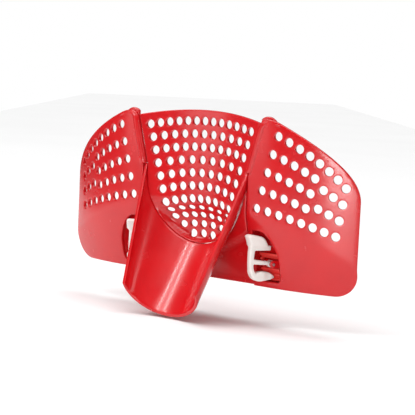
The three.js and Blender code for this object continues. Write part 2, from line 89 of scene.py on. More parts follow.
WING_FRONT, WING_FOLD_X, WING_END = -8.0, 53.0, 126.4
WING_SWEEP, WING_CURVE, WING_EDGE = 19.2, 2.27, 47.0   # how far and how fast the wing curves back
WING_CORNER = 17.0
WING_TOP = (69.6, 86.2)            # where the wing's long upper edge meets its inner corner
LEAN = 0.27                        # the skirt leans back by this slope below the crease
CREASE_HEIGHT, CREASE_X, CREASE_FALL, CREASE_BEND = 22.0, 47.0, 0.16, 0.0029
CREASE_ROUND = 3.0                 # half the height over which the crease is rounded
# the bead up the wing's inner edge, and the ear behind the corner where it turns
BEAD_RADIUS, BEAD_BOTTOM, BEAD_TURN, BEAD_Y, BEAD_SET = 2.8, 50.5, 79.0, -6.4, 0.8
EAR_X, EAR_Z, EAR_RADIUS, EAR_START, EAR_END, EAR_BOTTOM = 60.0, 81.5, 8.4, 54.6, 67.5, 80.8
EAR_WALL, EAR_SINK = 2.4, 0.4

SPOUT_WALL, BAND = 2.4, 6.0        # thickness, and depth of the collar round the centre wall
SPOUT_LENGTH = 90.0                # about the length of the trough's floor
LIP_HALF, LIP_Y, LIP_Z = 30.8, -41.7, -33.3            # half width and upper ends of the lip
LIP_RUN, LIP_DEPTH = 10.5, 18.2    # how far its floor lies back and below them
LIP_TURN = (0.5, 0.87)             # way that the lip's thickness points at its floor

# the rim skirt: half width above the step, below it, and of the slit under the spout
SKIRT_TOP, SKIRT_HALF, SKIRT_LAP, SKIRT_INNER = 38.0, 46.4, 47.4, 1.2
# its recess below the sloping step
RECESS, STEP_HEIGHT, STEP_SLOPE, STEP_WALL, STEP_ROUND = 4.2, 7.5, 0.55, 2.0, 1.6

HINGE_X, HINGE_Y, BARREL_RADIUS, HINGE_BORE = 49.7, -2.75, 2.3, 1.45
KNUCKLES = (31.5, 37.0, 43.5, 50.0)    # joints between the three knuckles, from the bottom up
TURNED_ROUND = 0.4                 # rounding of a turned piece's outer edges

WINDOW = (50.8, 71.2, -24.0, 11.4)     # x0, x1, z0, z1 of the opening for the clip
RAMP = 4.0                         # run of the pocket's sloping outer side
# the grip pad: plate, ribs, and the x whose wing profile it leans with
PAD_X, PAD_BACK, PAD_PLATE, PAD_RIB, PAD_PITCH, PAD_TOP = 59.0, 8.85, 1.4, 1.8, 3.5, -4.4
PAD_CUT_X, PAD_CUT_HALF = 53.2, 3.2    # opening in the pad for the clip's bracket

CLIP_X, CLIP_Y, CLIP_TURN = 53.5, -8.9, math.radians(28)
PIVOT_REACH, PIVOT_Z, CLIP_BORE = 15.0, -11.2, 1.25    # the pivot, inwards from the strap
# half widths of the clip's parts, and the radius of its eye
HEAD_HALF, STRAP_HALF, FOOT_HALF, EYE_HALF, EYE_RADIUS = 4.0, 2.3, 3.4, 1.7, 2.4

CAMERA_PLACE, CAMERA_LENS = (605.5, -782.1, 120.9), 121.4
CAMERA_AZIMUTH, CAMERA_DOWN, CAMERA_ROLL = math.radians(37.4), math.radians(5.7), math.radians(2.68)


def place(x, y, z):
    """A drawn point in mm as a point of the row frame in metres."""
    return (x * 0.001, (y - RIM_Y) * 0.001, (z - RIM_Z) * 0.001)


# ------------------------------------------------------------------ camera
def make_camera():
    """A long lens, left of the spout and a little above it, rolled by a few degrees."""
    data = bpy.data.cameras.new("camera")
    data.sensor_width = 36
    data.lens = CAMERA_LENS
    data.clip_end = 20
    camera = bpy.data.objects.new("camera", data)
    bpy.context.scene.collection.objects.link(camera)
    forward = Vector((
        -math.sin(CAMERA_AZIMUTH) * math.cos(CAMERA_DOWN),
        math.cos(CAMERA_AZIMUTH) * math.cos(CAMERA_DOWN),
        -math.sin(CAMERA_DOWN),
    ))
    look = forward.to_track_quat("-Z", "Y").to_matrix() @ Matrix.Rotation(CAMERA_ROLL, 3, "Z")
    camera.matrix_world = Matrix.Translation(place(*CAMERA_PLACE)) @ look.to_4x4()
    bpy.context.scene.camera = camera


make_camera()


# ------------------------------------------------------------------ materials
class Nodes:
    """A material's node tree, with short calls to add and link nodes."""

    def __init__(self, name):
        self.material = bpy.data.materials.new(name)
        self.material.use_nodes = True
        self.tree = self.material.node_tree
        self.shader = self.tree.nodes["Principled BSDF"]
        coordinates = self.tree.nodes.new("ShaderNodeTexCoord")
        self.place = coordinates.outputs["Object"]

    def link(self, output, socket):
        """Links an output to an input."""
        self.tree.links.new(output, socket)

    def noise(self, scale, detail=2.0, stretch=None):
        """Noise with features of about 1/scale metres."""
        node = self.tree.nodes.new("ShaderNodeTexNoise")
        node.inputs["Scale"].default_value = scale
        node.inputs["Detail"].default_value = detail
        source = self.place
        if stretch:
            mapping = self.tree.nodes.new("ShaderNodeMapping")
            mapping.inputs["Scale"].default_value = stretch
            self.link(source, mapping.inputs["Vector"])
            source = mapping.outputs["Vector"]
        self.link(source, node.inputs["Vector"])
        return node.outputs["Fac"]

    def spread(self, value, low, high):
        """The noise value mapped to low..high."""
        node = self.tree.nodes.new("ShaderNodeMapRange")
        node.inputs["From Min"].default_value = 0.3
        node.inputs["From Max"].default_value = 0.7
        node.inputs["To Min"].default_value = low
        node.inputs["To Max"].default_value = high
        self.link(value, node.inputs["Value"])
        return node.outputs["Result"]

    def ramp(self, value, first, second):
        """A blend of two colours by the noise value."""
        node = self.tree.nodes.new("ShaderNodeValToRGB")
        node.color_ramp.elements[0].position = 0.2
        node.color_ramp.elements[0].color = (*first, 1)
        node.color_ramp.elements[1].position = 0.8
        node.color_ramp.elements[1].color = (*second, 1)
        self.link(value, node.inputs["Fac"])
        return node.outputs["Color"]

    def bump(self, layers):
        """Bump from (value, height in metres) layers, one on top of the other."""
        normal = None
        for value, height in layers:
            node = self.tree.nodes.new("ShaderNodeBump")
            node.inputs["Strength"].default_value = 1.0
            node.inputs["Distance"].default_value = height
            self.link(value, node.inputs["Height"])
            if normal:
                self.link(normal, node.inputs["Normal"])
            normal = node.outputs["Normal"]
        self.link(normal, self.shader.inputs["Normal"])


def moulded_plastic(name, light, dark, roughness, coat, grain):
    """Injection-moulded plastic: cloudy pigment, uneven gloss, faint flow waviness and fine grain."""
    nodes = Nodes(name)
    shader = nodes.shader
    nodes.link(nodes.ramp(nodes.noise(28, 3), dark, light), shader.inputs["Base Color"])
    nodes.link(nodes.spread(nodes.noise(90, 4), *roughness), shader.inputs["Roughness"])
    nodes.bump([(nodes.noise(12, 0), 0.00008), (nodes.noise(500, 1), grain)])
    shader.inputs["Coat Weight"].default_value = coat
    shader.inputs["Coat Roughness"].default_value = 0.12
    shader.inputs["IOR"].default_value = 1.5
    return nodes.material


def drawn_steel(name):
    """Steel wire and pin stock, with fine streaks along the length it was drawn in."""
    nodes = Nodes(name)
    shader = nodes.shader
    shader.inputs["Metallic"].default_value = 1.0
    streaks = nodes.noise(600, 3, stretch=(1, 1, 0.08))
    nodes.link(nodes.ramp(streaks, (0.5, 0.51, 0.53), (0.68, 0.69, 0.71)), shader.inputs["Base Color"])
    nodes.link(nodes.spread(streaks, 0.22, 0.4), shader.inputs["Roughness"])
    nodes.bump([(streaks, 0.00001)])
    return nodes.material


RED = moulded_plastic("red_plastic", (0.66, 0.006, 0.009), (0.54, 0.003, 0.007), (0.2, 0.28), 0.3, 0.000002)
# the grip pads' red is painted lighter and pinker than the wall's red, as painted light for the shaded
# pocket behind the clip
LIT_RIBBED_RED = moulded_plastic("red_ribbed", (0.96, 0.06, 0.05), (0.9, 0.05, 0.042), (0.3, 0.42), 0.1, 0.000004)
WHITE = moulded_plastic("white_plastic", (0.86, 0.84, 0.8), (0.82, 0.8, 0.75), (0.32, 0.44), 0.1, 0.000004)
STEEL = drawn_steel("steel")
SLOTS = {"red_plastic": RED, "red_ribbed": LIT_RIBBED_RED, "white_plastic": WHITE, "steel": STEEL}


# ------------------------------------------------------------------ mesh building
def make_piece(name, points, faces, body, slot, replaces=(), side=1):
    """A smooth-shaded piece from drawn points in mm, riding on a body; side -1 mirrors it."""
    if side < 0:
        points = [(-x, y, z) for x, y, z in points]
        faces = [tuple(reversed(face)) for face in faces]
    mesh = bpy.data.meshes.new(name)
    mesh.from_pydata([place(*point) for point in points], [], faces)
    mesh.polygons.foreach_set("use_smooth", [True] * len(faces))
    mesh.validate()
    piece = bpy.data.objects.new(name, mesh)
    bpy.context.scene.collection.objects.link(piece)
    mesh.materials.append(SLOTS[slot])
    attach(piece, body)
    for node in replaces:
        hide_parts(node)
    return piece


def ring_strip(first, second, count):
    """Quads between two rings of count points that start at these indices."""
    return [
        (first + i, first + (i + 1) % count, second + (i + 1) % count, second + i)
        for i in range(count)
    ]


def inside(points, loop):
    """Which 2-D points lie inside a closed loop."""
    x, y = points[:, 0:1], points[:, 1:2]
    x0, y0 = loop[:, 0], loop[:, 1]
    x1, y1 = np.roll(x0, -1), np.roll(y0, -1)
    crosses = (y0 > y) != (y1 > y)
    with np.errstate(divide="ignore", invalid="ignore"):
        at = x0 + (y - y0) * (x1 - x0) / (y1 - y0)
    return (crosses & (x < at)).sum(axis=1) % 2 == 1


def resample(loop, spacing):
    """A closed loop with points evenly spaced along it."""
    loop = np.array(loop, float)
    closed = np.vstack([loop, loop[:1]])
    lengths = np.hypot(*np.diff(closed, axis=0).T)
    along = np.concatenate([[0], np.cumsum(lengths)])
    count = max(12, int(round(along[-1] / spacing)))
    targets = np.linspace(0, along[-1], count, endpoint=False)
    return np.column_stack([np.interp(targets, along, closed[:, k]) for k in (0, 1)])


ANGLES = np.linspace(0, 2 * math.pi, HOLE_SIDES, endpoint=False)
CIRCLE = np.column_stack([np.cos(ANGLES), np.sin(ANGLES)])


def outward(loop):
    """Unit normals pointing out of an anticlockwise loop."""
    tangent = np.roll(loop, -1, axis=0) - np.roll(loop, 1, axis=0)
    normal = np.column_stack([tangent[:, 1], -tangent[:, 0]])
    return normal / np.maximum(np.hypot(*normal.T), 1e-9)[:, None]


def anticlockwise(loop):
    """The loop, turned round if it runs clockwise."""
    x, y = loop[:, 0], loop[:, 1]
    area = (x * np.roll(y, -1) - y * np.roll(x, -1)).sum()
    return loop if area > 0 else loop[::-1]


def edge_rings(radius, thickness):
    """Rings round an edge, from front to back, as (distance out of the front ring, depth)."""
    quarter = np.linspace(0, math.pi / 2, 4)
    front = [(radius * math.sin(t), radius * (1 - math.cos(t))) for t in quarter]
    back = [(out, thickness - depth) for out, depth in reversed(front)]
    if abs(front[-1][1] - back[0][1]) < 1e-6:
        back = back[1:]
    return front + back


def wall_loops(outline, holes, windows, spacing, edge):
    """Every edge of a wall: its loop, outward normals, rounding, and 1 outside or -1 inside."""
    outer = anticlockwise(resample(outline, spacing * 0.6))
    loops = [(outer, outward(outer), edge, 1)]
    for window in windows:
        loop = anticlockwise(resample(window, 1.0))
        loops.append((loop, outward(loop), WINDOW_ROUND, -1))
    for a, b, width, height in holes:
        loop = np.array([a, b]) + CIRCLE * (width, height)
        loops.append((loop, outward(loop), HOLE_ROUND, -1))
    return loops


def spread_points(low, high, spacing, bounds):
    """Evenly staggered points over a rectangle, away from the points in bounds."""
    step = spacing * 0.87
    grid = np.array([
        (low[0] + spacing * (i + 0.5 * (j % 2)), low[1] + step * j)
        for j in range(int((high[1] - low[1]) / step) + 1)
        for i in range(int((high[0] - low[0]) / spacing) + 1)
    ])
    apart = np.hypot(grid[:, None, 0] - bounds[None, :, 0], grid[:, None, 1] - bounds[None, :, 1])
    return grid[np.min(apart, axis=1) > 0.55 * spacing]


def flat_face(loops, holes, spacing):
    """The wall's flat part, inside its rounded edges: corners, triangles and each loop's corners."""
    flat, segments, starts = [], [], []
    for loop, normal, radius, way in loops:
        starts.append(len(flat))
        count = len(loop)
        flat.extend(loop - way * normal * radius)
        segments.extend((starts[-1] + i, starts[-1] + (i + 1) % count) for i in range(count))
    bounds = np.array(flat)
    for a, b, width, height in holes:
        around = (width + HOLE_ROUND + 0.6, height + HOLE_ROUND + 0.6)
        flat.extend(np.array([a, b]) + CIRCLE[::2] * around)
    outer = loops[0][0]
    flat = list(flat) + list(spread_points(outer.min(axis=0), outer.max(axis=0), spacing, bounds))
    result = delaunay_2d_cdt([Vector(p) for p in flat], segments, [], 0, 1e-7)
    corners = np.array([(v.x, v.y) for v in result[0]])
    triangles = np.array(result[2])
    middle = corners[triangles].mean(axis=1)
    keep = inside(middle, bounds[: len(outer)])
    for start, (loop, *_) in zip(starts[1:], loops[1:]):
        keep &= ~inside(middle, bounds[start: start + len(loop)])
    triangles = triangles[keep]
    used = np.unique(triangles)
    index = {int(v): i for i, v in enumerate(used)}
    where = {given: i for i, v in enumerate(used) for given in result[3][int(v)]}
    triangles = [[index[int(v)] for v in triangle] for triangle in triangles]
    rings = [[where[start + i] for i in range(len(loop))] for start, (loop, *_) in zip(starts, loops)]
    return corners[used], triangles, rings


def shell(outline, holes, surface, thickness, windows=(), spacing=2.4, edge=0.8):
    """Points and faces of a wall with rounded edges and round or oval holes.

    outline and windows are loops, and holes are (a, b, half width, half height), all in the wall's
    own two coordinates; surface(a, b, depth) gives the drawn point at a depth behind the front.
    """
    loops = wall_loops(outline, holes, windows, spacing, edge)
    corners, triangles, rings = flat_face(loops, holes, spacing)
    size = len(corners)
    points = [surface(*corner, depth) for depth in (0, thickness) for corner in corners]
    faces = []
    for a, b, c in triangles:
        faces.append((a, b, c))
        faces.append((a + size, c + size, b + size))
    for (loop, normal, radius, way), front in zip(loops, rings):
        previous = front
        for out, depth in edge_rings(radius, thickness)[1:-1]:
            start = len(points)
            points.extend(surface(a, b, depth) for a, b in loop + way * normal * (out - radius))
            current = list(range(start, start + len(loop)))
            faces.extend(strip(previous, current, way))
            previous = current
        faces.extend(strip(previous, [v + size for v in front], way))
    return points, faces


def strip(first, second, way):
    """Quads between two lists of ring vertices, facing out of an outline or into a hole."""
    count = len(first)
    quads = [(first[i], second[i], second[(i + 1) % count], first[(i + 1) % count]) for i in range(count)]
    return quads if way > 0 else [tuple(reversed(quad)) for quad in quads]


def arc(cx, cy, rx, ry, start, end, steps):
    """Points along an elliptic arc between two angles in degrees."""
    return [
        (cx + rx * math.cos(t), cy + ry * math.sin(t))
        for t in np.linspace(math.radians(start), math.radians(end), steps)
    ]


def bezier(points, steps=16):
    """Points along a Bezier curve of any degree."""
    degree = len(points) - 1
    out = []
    for t in np.linspace(0, 1, steps):
        weights = [math.comb(degree, k) * t**k * (1 - t) ** (degree - k) for k in range(degree + 1)]
        out.append(tuple(sum(w * p[axis] for w, p in zip(weights, points)) for axis in (0, 1)))
    return out


def smooth(t):
    """Eases from 0 to 1."""
    t = min(max(t, 0.0), 1.0)
    return t * t * (3 - 2 * t)


# ------------------------------------------------------------------ shapes that pieces share
def fold_x(z):
    """x of the fold beside the centre wall; above the U seam the fold leans outwards."""
    return BOWL_HALF + FOLD_SLOPE * (z - BOWL_TOP)


def bead_x(z):
    """x of the bead's middle, a little outside the fold."""
    return fold_x(z) + BEAD_RADIUS + BEAD_SET


def wall_front(x, z):
    """y of the centre wall's front face, without its scoop."""
    rise = z - BEND_LEVEL
    weaker = (BEND_TOP - max(z, BEND_LEVEL)) / (BEND_TOP - BEND_LEVEL)
    bend = BEND_LEAST + BEND_MORE * weaker**2
    middle = MID_LEAN * rise if rise > 0 else TOE_BACK * (rise / TOE_DROP) ** 2
    return middle - bend * x * x


def scoop_front(x, z):
    """The same face with its lower part set back inside the U seam."""
    level = z + x * x / SCOOP_DISH
    within = 1 - math.hypot(x / BOWL_HALF, max(BOWL_TOP - z, 0) / BOWL_DEPTH)
    deeper, from_rim = smooth((SCOOP_FROM - level) / SCOOP_DROP), smooth(within / SCOOP_EDGE)
    return wall_front(x, z) + SCOOP_DEPTH * deeper * from_rim


def crease_z(x):
    """Height of the crease between the wing's upright wall and its skirt."""
    return CREASE_HEIGHT - CREASE_FALL * (x - CREASE_X) - CREASE_BEND * (x - CREASE_X) ** 2


def soft_lean(drop):
    """The lean below the crease, with the crease itself rounded."""
    if drop <= -CREASE_ROUND:
        return 0.0
    if drop >= CREASE_ROUND:
        return LEAN * drop
    return LEAN * (drop + CREASE_ROUND) ** 2 / (4 * CREASE_ROUND)


def wing_front(x, z):
    """y of the right wing's outer face: upright above the crease, leaning back below it."""
    along = max(x - WING_FOLD_X, 0) / (WING_END - WING_FOLD_X)
    return WING_FRONT + WING_SWEEP * along**WING_CURVE + soft_lean(crease_z(x) - z)


# ------------------------------------------------------------------ centre strainer
def centre_holes():
    """Seven bowed rows, and four rows in the scoop, whose holes are flat ovals."""
    holes = []
    for row, count in enumerate([13, 11, 11, 9, 9, 9, 9]):
        half, middle = 44.8 - 2.76 * row, 83.2 - 9.2 * row
        for i in range(count):
            across = 2 * i / (count - 1) - 1
            holes.append((half * across, middle - 4.6 * across**2, HOLE, HOLE))
    lower = [(7, 8.4, 21.8, 1.5), (7, 7.7, 16.4, 2.1), (5, 8.4, 9.9, 2.6), (3, 8.5, 2.9, 2.9)]
    for count, pitch, middle, height in lower:
        for i in range(count):
            x = (i - (count - 1) / 2) * pitch
            holes.append((x, middle - x * x / 180, HOLE, height))
    return holes


def centre_strainer():
    """The perforated wall inside the U seam, wider above it, with an arched top edge."""
    edge_top, shoulder = MID_TOP - TOP_ARCH, BOWL_TOP + CLOSE
    corner, side = fold_x(edge_top) + GAP, fold_x(shoulder) + GAP
    outline = (
        arc(0, BOWL_TOP, BOWL_HALF - GAP, BOWL_DEPTH - GAP, 180, 360, 90)
        + [(BOWL_HALF - GAP, shoulder), (side, shoulder)]
        + bezier([(corner, edge_top), (0, MID_TOP + TOP_ARCH), (-corner, edge_top)], 60)
        + [(-side, shoulder), (-(BOWL_HALF - GAP), shoulder)]
    )

    def surface(x, z, depth):
        return (x, scoop_front(x, z) + depth, z)

    points, faces = shell(outline, centre_holes(), surface, WALL, spacing=1.5, edge=0.6)
    make_piece("centre_wall", points, faces, "strainer", "red_plastic", ["centre_strainer"])


# ------------------------------------------------------------------ pouring spout
def spout_point(angle, t, thick):
    """A point of the spout: t is -1 at the collar's back, 0 at the U seam and 1 at the lip."""
    c, s = math.cos(angle), math.sin(angle)
    root = ((BOWL_HALF + thick) * c, 0, BOWL_TOP - (BOWL_DEPTH + thick) * s)
    root_y = wall_front(BOWL_HALF * c, BOWL_TOP - BOWL_DEPTH * max(s, 0))
    if t < 0:
        return (root[0], root_y - t * BAND, root[2])
    lip = (
        (LIP_HALF + thick) * c,
        LIP_Y + (LIP_RUN + LIP_TURN[0] * thick) * s,
        LIP_Z - (LIP_DEPTH + LIP_TURN[1] * thick) * s,
    )
    return (
        root[0] + (lip[0] - root[0]) * t,
        root_y + (lip[1] - root_y) * t,
        root[2] + (lip[2] - root[2]) * t,
    )


def squared(value):
    """Turns the sine and cosine of a circle into those of a square with rounded corners."""
    return math.copysign(abs(value) ** 0.4, value)


def pour_spout():
    """The collar and the open trough, as one U section carried from the collar's back to the lip."""
    half = SPOUT_WALL / 2
    start = half / BOWL_DEPTH
    around = 72
    section = [(start + (math.pi - 2 * start) * i / around, 0.0) for i in range(around + 1)]
    # the trough's two upper edges: square, with rounded corners
    turn = [(squared(math.sin(a)) - 1, squared(math.cos(a))) for a in np.linspace(0, math.pi, 9)[1:-1]]
    section += [(math.pi + half * up / BOWL_DEPTH, half * (1 - out)) for up, out in turn]
    section += [(angle, SPOUT_WALL) for angle, _ in reversed(section[: around + 1])]
    section += [(-half * up / BOWL_DEPTH, half * (1 + out)) for up, out in turn]
    # stations along the spout: (t, how far the wall is pinched towards its middle)
    rounding = [(1 - math.cos(a), 1 - math.sin(a)) for a in np.linspace(0, math.pi / 2, 5)]
    stations = [(-1 + back * half / BAND, pinch) for back, pinch in rounding]
    stations += [(t, 0.0) for t in (-0.66, -0.33, 0, *np.linspace(0.02, 0.96, 40))]
    stations += [(1 - back * half / SPOUT_LENGTH, pinch) for back, pinch in reversed(rounding)]
    points, faces = [], []
    for t, pinch in stations:
        for angle, thick in section:
            points.append(spout_point(angle, t, half + (thick - half) * (1 - pinch)))
    count = len(section)
    for j in range(len(stations) - 1):
        faces.extend(ring_strip(j * count, (j + 1) * count, count))
    make_piece("spout", points, faces, "strainer", "red_plastic", ["pour_spout"])


# ------------------------------------------------------------------ rim skirt
def step_z(x):
    """Height of the sloping step above the skirt's recess."""
    return STEP_HEIGHT - STEP_SLOPE * (SKIRT_HALF - abs(x))


def spout_edge(z):
    """Half width of the spout and its collar, with some room, where they cross the skirt."""
    y = WING_FRONT + soft_lean(CREASE_HEIGHT - z) + RECESS
    best = 0.0
    for t in np.linspace(-1, 1, 81):
        for angle in np.linspace(0, math.pi / 2, 61):
            x, at_y, at_z = spout_point(angle, t, SPOUT_WALL + GAP)
            if abs(at_z - z) < 1.2 and y - RECESS - 0.5 < at_y < y + WALL + 0.5:
                best = max(best, x)
    return best


def rim_skirt():
    """Two mirrored halves, one on each side of the spout."""
    def surface(x, z, depth):
        level = step_z(min(abs(x), SKIRT_HALF)) + STEP_WALL / 2
        back = RECESS * smooth((level - z) / STEP_ROUND + 0.5)
        return (x, WING_FRONT + soft_lean(CREASE_HEIGHT - z) + back + depth, z)

    outline = [(SKIRT_INNER, SKIRT_BOTTOM), (SKIRT_LAP, SKIRT_BOTTOM)]
    outline += [(SKIRT_LAP, STEP_HEIGHT), (SKIRT_HALF, STEP_HEIGHT + 0.5), (SKIRT_HALF, SKIRT_TOP)]
    beside_spout = [(spout_edge(z), z) for z in np.linspace(SKIRT_TOP, SKIRT_BOTTOM, 60)]
    outline += [point for point in beside_spout if point[0] > SKIRT_INNER]
    points, faces = shell(outline, [], surface, WALL)
    for side, name in ((-1, "left"), (1, "right")):
        replaced = ["rim_skirt"] if side > 0 else []
        make_piece(f"skirt_{name}", points, faces, "strainer", "red_plastic", replaced, side)


# ------------------------------------------------------------------ wings
def wing_holes():
    """Eight columns of holes that fan out from the fold, the outer three one hole shorter."""
    holes = []
    for k in range(8):
        top = (70 + 8.55 * k - 0.255 * k * k, 77 - 3.4 * k - 0.16 * k * k)
        bottom = (55.3 + 9.1 * k - 0.13 * k * k, 27 - 1.4 * k - 0.09 * k * k)
        count = 5 if k < 5 else 4
        for row in range(count):
            t = row / (count - 1)
            holes.append((top[0] + (bottom[0] - top[0]) * t, top[1] + (bottom[1] - top[1]) * t))
    return holes


# distance along the swept wing for each x, so that holes stay round on its slope
SWEEP_X = np.linspace(WING_EDGE - 4, WING_END + 4, 600)
SWEEP_SLOPE = WING_SWEEP * WING_CURVE * np.maximum(SWEEP_X - WING_FOLD_X, 0) ** (WING_CURVE - 1) / (
    (WING_END - WING_FOLD_X) ** WING_CURVE
)
SWEEP_LENGTH = np.concatenate([
    [0], np.cumsum(np.hypot(np.diff(SWEEP_X), np.diff(SWEEP_X) * SWEEP_SLOPE[1:]))
]) + SWEEP_X[0]


def along_wing(x):
    """Distance along the sweep at this x."""
    return float(np.interp(x, SWEEP_X, SWEEP_LENGTH))


def wing_surface(s, z, depth):
    """A point behind the wing's outer face, from the distance along its sweep and its height."""
    x = float(np.interp(s, SWEEP_LENGTH, SWEEP_X))
    slope = float(np.interp(x, SWEEP_X, SWEEP_SLOPE))
    stretch = math.hypot(1, slope)
    return (x - depth * slope / stretch, wing_front(x, z) + depth / stretch, z)


def window_outline():
    """The clip's window: square beside the fold, with an arch over the clip's head."""
    x0, x1, z0, z1 = WINDOW
    return (
        [(x0, z0)]
        + bezier([(x1 - 4, z0), (x1, z0), (x1, z0 + 7)], 10)
        + bezier([(x1, -9), (x1 - 1.3, -0.3), (x1 - 7.5, z1), (x1 - 14.5, z1)], 20)
        + [(x0, z1)]
    )


def wing(side, name):
    """The swept wall with its skirt, holes and window."""
    outline = [(WING_EDGE, SKIRT_BOTTOM)]
    outline += arc(WING_END - WING_CORNER, SKIRT_BOTTOM + WING_CORNER, WING_CORNER, WING_CORNER, -90, 0, 24)
    outline += bezier([(WING_END, 36), (WING_END, 56), (99.6, 73.2), WING_TOP], 50)
    outline += bezier([WING_TOP, (54.5, 92), (bead_x(BEAD_TURN) - BEAD_RADIUS, BEAD_TURN)], 24)
    outline += [(bead_x(BEAD_TURN - 1), BEAD_TURN - 1), (bead_x(BEAD_BOTTOM), BEAD_BOTTOM)]
    outline += [(WING_EDGE, BEAD_BOTTOM - 1)]
    outline = [(along_wing(x), z) for x, z in outline]
    holes = [(along_wing(x), z, HOLE, HOLE) for x, z in wing_holes()]
    window = [(along_wing(x), z) for x, z in window_outline()]
    points, faces = shell(outline, holes, wing_surface, WALL, windows=[window], edge=0.7)
    body = f"{name}_wing"
    make_piece(f"{name}_wing_wall", points, faces, body, "red_plastic", [f"{name}_wing"], side)


# ------------------------------------------------------------------ round and bar-shaped pieces
def bar(path, radii, way, sides=24):
    """A round bar along drawn points, with a radius at each, softly rounded ends, and its first
    end cut square to the given way."""
    path = [Vector(p) for p in path]
    last = len(path) - 1
    tangents = [(path[min(i + 1, last)] - path[max(i - 1, 0)]).normalized() for i in range(last + 1)]
    tangents[0] = Vector(way)
    turns = [math.pi / 2 * k / 3 for k in range(4)]
    rounding = [(1 - math.cos(a), 1 - math.sin(a)) for a in turns]
    stations = [
        (path[0] + tangents[0] * SOFT * back, tangents[0], radii[0] - SOFT * less)
        for back, less in rounding
    ]
    stations += list(zip(path[1:-1], tangents[1:-1], radii[1:-1]))
    stations += [
        (path[-1] - tangents[-1] * SOFT * back, tangents[-1], radii[-1] - SOFT * less)
        for back, less in reversed(rounding)
    ]
    across = tangents[0].orthogonal().normalized()
    points, faces = [tuple(path[0])], []
    for centre, tangent, size in stations:
        across = (across - tangent * across.dot(tangent)).normalized()
        other = tangent.cross(across)
        for k in range(sides):
            a = 2 * math.pi * k / sides
            points.append(tuple(centre + size * (math.cos(a) * across + math.sin(a) * other)))
    points.append(tuple(path[-1]))
    for j in range(len(stations) - 1):
        faces.extend(ring_strip(1 + j * sides, 1 + (j + 1) * sides, sides))
    top = 1 + (len(stations) - 1) * sides
    faces.extend((0, 1 + (k + 1) % sides, 1 + k) for k in range(sides))
    faces.extend((len(points) - 1, top + k, top + (k + 1) % sides) for k in range(sides))
    return points, faces


def wing_bead(side, name):
    """The bead up the wing's inner edge; it thins out round the corner and along the top."""
    path = [(bead_x(z), BEAD_Y, z) for z in np.linspace(BEAD_BOTTOM, BEAD_TURN, 10)]
    radii = [BEAD_RADIUS] * len(path)
    turn_x = bead_x(BEAD_TURN)
    over = bezier([(turn_x, BEAD_TURN), (turn_x + 1.4, 86.6), (62.5, 87.2), (71.5, 83.6)], 20)
    for i, (x, z) in enumerate(over[1:], 1):
        along = i / (len(over) - 1)
        path.append((x, BEAD_Y + 0.15 * along, z))
        radii.append(BEAD_RADIUS + (WALL / 2 - BEAD_RADIUS) * smooth(along * 1.3))
    points, faces = bar(path, radii, (0, 0, 1))
    make_piece(f"{name}_wing_bead", points, faces, f"{name}_wing", "red_plastic", (), side)


def wing_ear(side, name):
    """A round-topped slab behind the wing's top inner corner."""
    outline = [
        (min(max(x, EAR_START), EAR_END), max(z, EAR_BOTTOM))
        for x, z in arc(EAR_X, EAR_Z, EAR_RADIUS, EAR_RADIUS, 0, 354, 60)
    ]
    outline = [(along_wing(x), z) for x, z in outline]

    def surface(s, z, depth):
        return wing_surface(s, z, depth + WALL - EAR_SINK)

    points, faces = shell(outline, [], surface, EAR_WALL, edge=0.7)
    make_piece(f"{name}_wing_ear", points, faces, f"{name}_wing", "red_plastic", (), side)


# ------------------------------------------------------------------ hinge knuckles
def turned(profile, x, y, sides=32):
    """A closed ring of (radius, height) points turned about an upright axis."""
    points, faces = [], []
    count = len(profile)
    for k in range(sides):
        a = 2 * math.pi * k / sides
        points.extend((x + r * math.cos(a), y + r * math.sin(a), z) for r, z in profile)
    for k in range(sides):
        here, there = k * count, (k + 1) % sides * count
        faces.extend(ring_strip(here, there, count))
    return points, [tuple(reversed(face)) for face in faces]


def rounded_profile(radius, z0, z1):
    """The outer side of a turned piece, from the bottom up, with rounded corners."""
    corner = TURNED_ROUND
    lower = arc(radius - corner, z0 + corner, corner, corner, -90, 0, 4)
    return lower + arc(radius - corner, z1 - corner, corner, corner, 0, 90, 4)


def knuckle(z0, z1):
    """A hinge barrel with its bore slightly flared at both ends."""
    bore, flare = HINGE_BORE, 0.2
    profile = rounded_profile(BARREL_RADIUS, z0, z1)
    profile += [(bore + flare, z1), (bore, z1 - flare), (bore, z0 + flare), (bore + flare, z0)]
    return turned(profile, HINGE_X, HINGE_Y)


def soft_block(x0, x1, y0, y1, z0, z1, rounding):
    """A block whose edges are all rounded."""
    form = bmesh.new()
    corners = [form.verts.new((x, y, z)) for x in (x0, x1) for y in (y0, y1) for z in (z0, z1)]
    for quad in ((0, 1, 3, 2), (4, 6, 7, 5), (0, 4, 5, 1), (2, 3, 7, 6), (0, 2, 6, 4), (1, 5, 7, 3)):
        form.faces.new([corners[i] for i in quad])
    bmesh.ops.bevel(form, geom=form.edges[:], offset=rounding, segments=3, profile=0.5, affect="EDGES")
    form.verts.index_update()
    points = [tuple(v.co) for v in form.verts]
    faces = [tuple(v.index for v in face.verts) for face in form.faces]
    form.free()
    return points, faces


